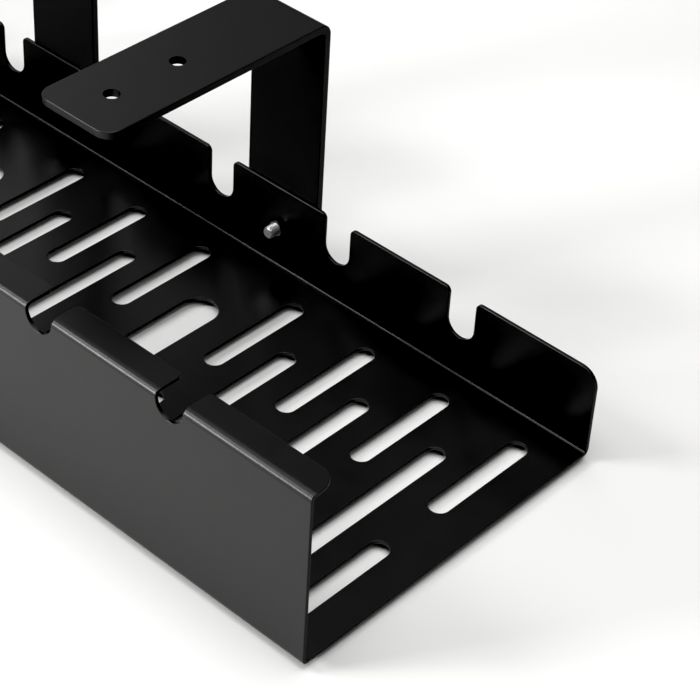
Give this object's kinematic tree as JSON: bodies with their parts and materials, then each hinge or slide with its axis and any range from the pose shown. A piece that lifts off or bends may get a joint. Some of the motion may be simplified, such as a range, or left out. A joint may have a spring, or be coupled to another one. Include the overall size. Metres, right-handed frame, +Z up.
{
  "type": "cable tray",
  "caption": "Under-desk cable tray: a slotted channel of bent sheet steel with notched walls, hung by its rear wall from L-shaped brackets that screw up into a desk top.",
  "frame": {"origin": "middle of the tray's underside: halfway along its length and halfway between the outer faces of its two walls, on the face it rests on", "axes": "+X along the tray to its right end, +Y from the tall front wall to the low rear wall, +Z up to the desk"},
  "size_m": [0.352, 0.127, 0.095],
  "materials": {
    "tray_coat": "black powder coat, satin, finely textured",
    "bracket_coat": "black powder coat, satin, finely textured",
    "zinc_screw": "bright zinc plate",
    "zinc_washer": "zinc plate, satin"
  },
  "bodies": {
    "tray": {"tray_body": "tray_coat", "clamp_screw_left": "zinc_screw", "spring_washer_left": "zinc_washer", "flat_washer_left": "zinc_washer", "clamp_screw_right": "zinc_screw", "spring_washer_right": "zinc_washer", "flat_washer_right": "zinc_washer"},
    "left_bracket": {"bracket_left": "bracket_coat"},
    "right_bracket": {"bracket_right": "bracket_coat"}
  },
  "joints": [
    {"name": "left_bracket_swivel", "type": "hinge", "parent": "tray", "child": "left_bracket", "pos_m": [-0.0507, 0.06, 0.0155], "axis": [0, 1, 0], "range_deg": [-65, 26]},
    {"name": "right_bracket_swivel", "type": "hinge", "parent": "tray", "child": "right_bracket", "pos_m": [0.0507, 0.06, 0.0155], "axis": [0, 1, 0], "range_deg": [-26, 65]}
  ]
}
